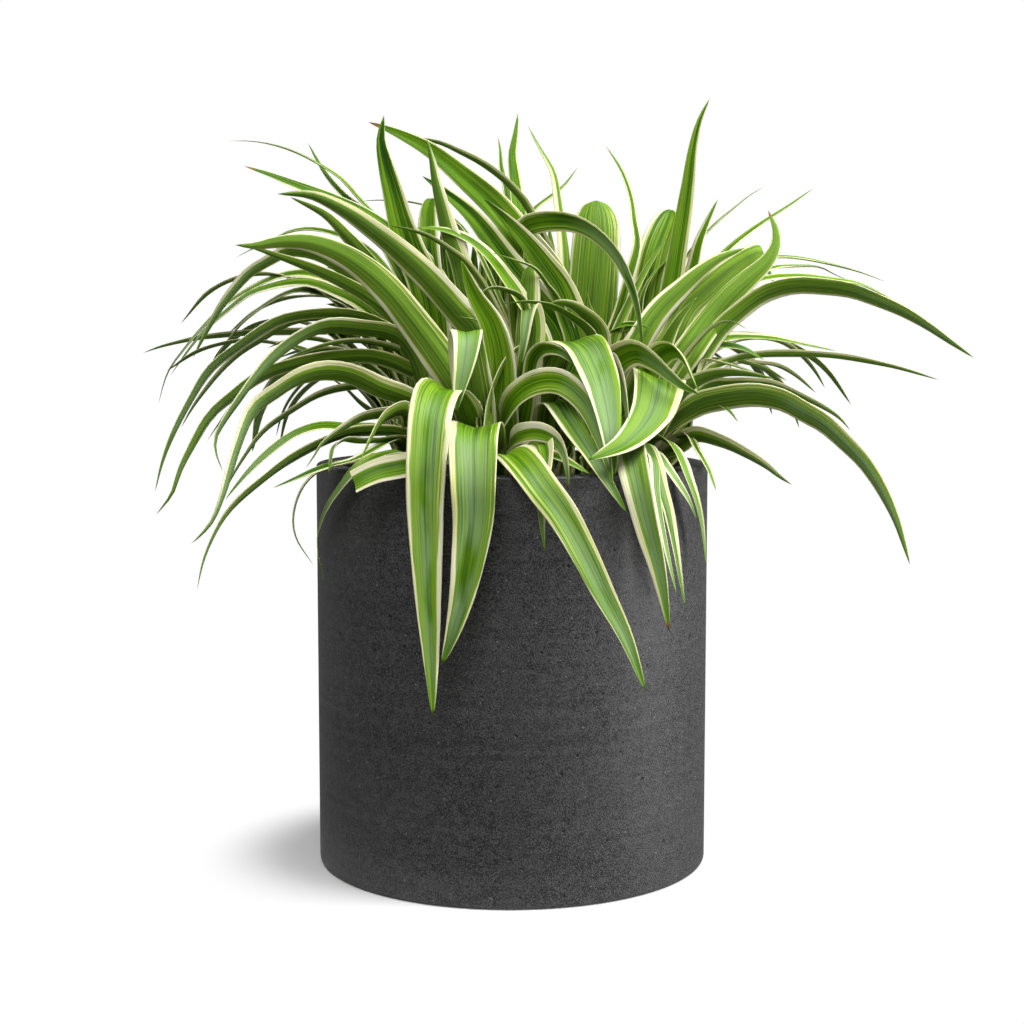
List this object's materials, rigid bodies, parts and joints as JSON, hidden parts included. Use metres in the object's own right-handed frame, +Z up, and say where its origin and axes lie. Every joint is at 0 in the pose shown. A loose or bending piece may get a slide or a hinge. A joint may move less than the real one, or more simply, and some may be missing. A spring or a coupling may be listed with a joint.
{
  "type": "potted spider plant",
  "caption": "variegated spider plant with long arching cream-edged leaves in a dark cylinder planter",
  "frame": {"origin": "centre of the pot's base, on the surface it stands on", "axes": "+Z up along the pot's axis, -Y to the front of the plant, +X to the viewer's right"},
  "size_m": [0.4368, 0.3123, 0.3925],
  "materials": {
    "pot": "matt dark anthracite, fine grain with small pinholes",
    "soil": "crumbly dark potting soil",
    "leaf": "soft-sheened leaf, green with cream margins"
  },
  "bodies": {
    "root": {"pot": "pot", "soil": "soil", "crown_west": "leaf", "crown_front": "leaf", "crown_centre": "leaf", "crown_back_left": "leaf", "crown_back_right": "leaf", "crown_east": "leaf", "crown_front_east": "leaf"}
  },
  "joints": []
}
